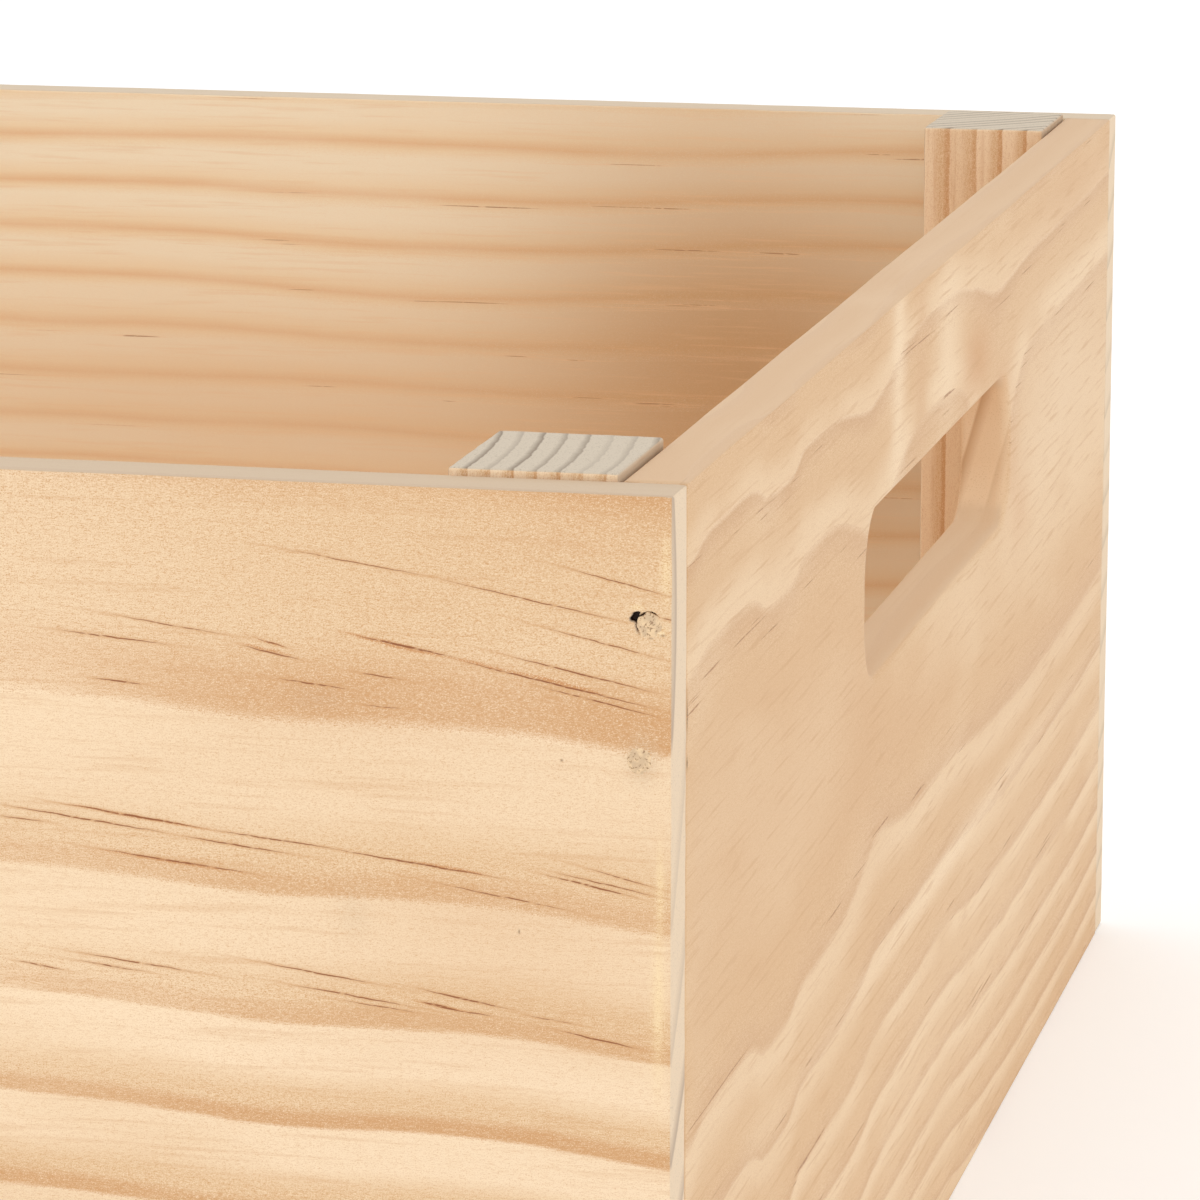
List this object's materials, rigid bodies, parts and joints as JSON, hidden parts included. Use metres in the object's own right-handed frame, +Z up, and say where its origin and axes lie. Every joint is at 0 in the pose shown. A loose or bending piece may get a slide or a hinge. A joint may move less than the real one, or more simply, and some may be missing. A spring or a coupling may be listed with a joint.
{
  "type": "wooden apple crate",
  "caption": "Low open pine crate with lapped nailed corners, corner posts, a hand slot in each end and a slatted floor, for picking, carrying and storing apples.",
  "frame": {"origin": "middle of the base, on the plane that the four boards stand on", "axes": "+X along the front board towards the right end, +Y from the front board to the back board, +Z up"},
  "size_m": [0.5, 0.4, 0.1589],
  "materials": {
    "wall_pine": "sanded, unfinished",
    "batten_pine": "sawn and sanded, unfinished",
    "floor_pine": "planed, unfinished",
    "wood_putty": "dried filler",
    "brad_steel": "bright wire"
  },
  "bodies": {
    "root": {"back_board": "wall_pine", "back_left_corner_brad_1": "brad_steel", "back_left_corner_brad_2": "brad_steel", "back_left_corner_brad_3": "brad_steel", "back_left_corner_brad_4": "brad_steel", "back_left_corner_putty_1": "wood_putty", "back_left_corner_putty_2": "wood_putty", "back_left_corner_putty_3": "wood_putty", "back_left_corner_putty_4": "wood_putty", "back_left_post": "batten_pine", "back_left_post_end_brad": "brad_steel", "back_left_post_side_brad": "brad_steel", "back_right_corner_brad_1": "brad_steel", "back_right_corner_brad_2": "brad_steel", "back_right_corner_brad_3": "brad_steel", "back_right_corner_brad_4": "brad_steel", "back_right_corner_putty_1": "wood_putty", "back_right_corner_putty_2": "wood_putty", "back_right_corner_putty_3": "wood_putty", "back_right_corner_putty_4": "wood_putty", "back_right_post": "batten_pine", "back_right_post_end_brad": "brad_steel", "back_right_post_side_brad": "brad_steel", "floor_slat_1": "floor_pine", "floor_slat_2": "floor_pine", "floor_slat_3": "floor_pine", "floor_slat_4": "floor_pine", "floor_slat_5": "floor_pine", "front_board": "wall_pine", "front_left_corner_brad_1": "brad_steel", "front_left_corner_brad_2": "brad_steel", "front_left_corner_brad_3": "brad_steel", "front_left_corner_brad_4": "brad_steel", "front_left_corner_putty_1": "wood_putty", "front_left_corner_putty_2": "wood_putty", "front_left_corner_putty_3": "wood_putty", "front_left_corner_putty_4": "wood_putty", "front_left_post": "batten_pine", "front_left_post_end_brad": "brad_steel", "front_left_post_side_brad": "brad_steel", "front_right_corner_brad_1": "brad_steel", "front_right_corner_brad_2": "brad_steel", "front_right_corner_brad_3": "brad_steel", "front_right_corner_brad_4": "brad_steel", "front_right_corner_putty_1": "wood_putty", "front_right_corner_putty_2": "wood_putty", "front_right_corner_putty_3": "wood_putty", "front_right_corner_putty_4": "wood_putty", "front_right_post": "batten_pine", "front_right_post_end_brad": "brad_steel", "front_right_post_side_brad": "brad_steel", "left_bearer": "batten_pine", "left_bearer_brad_1": "brad_steel", "left_bearer_brad_2": "brad_steel", "left_end_board": "wall_pine", "middle_bearer": "batten_pine", "right_bearer": "batten_pine", "right_bearer_brad_1": "brad_steel", "right_bearer_brad_2": "brad_steel", "right_end_board": "wall_pine"}
  },
  "joints": []
}
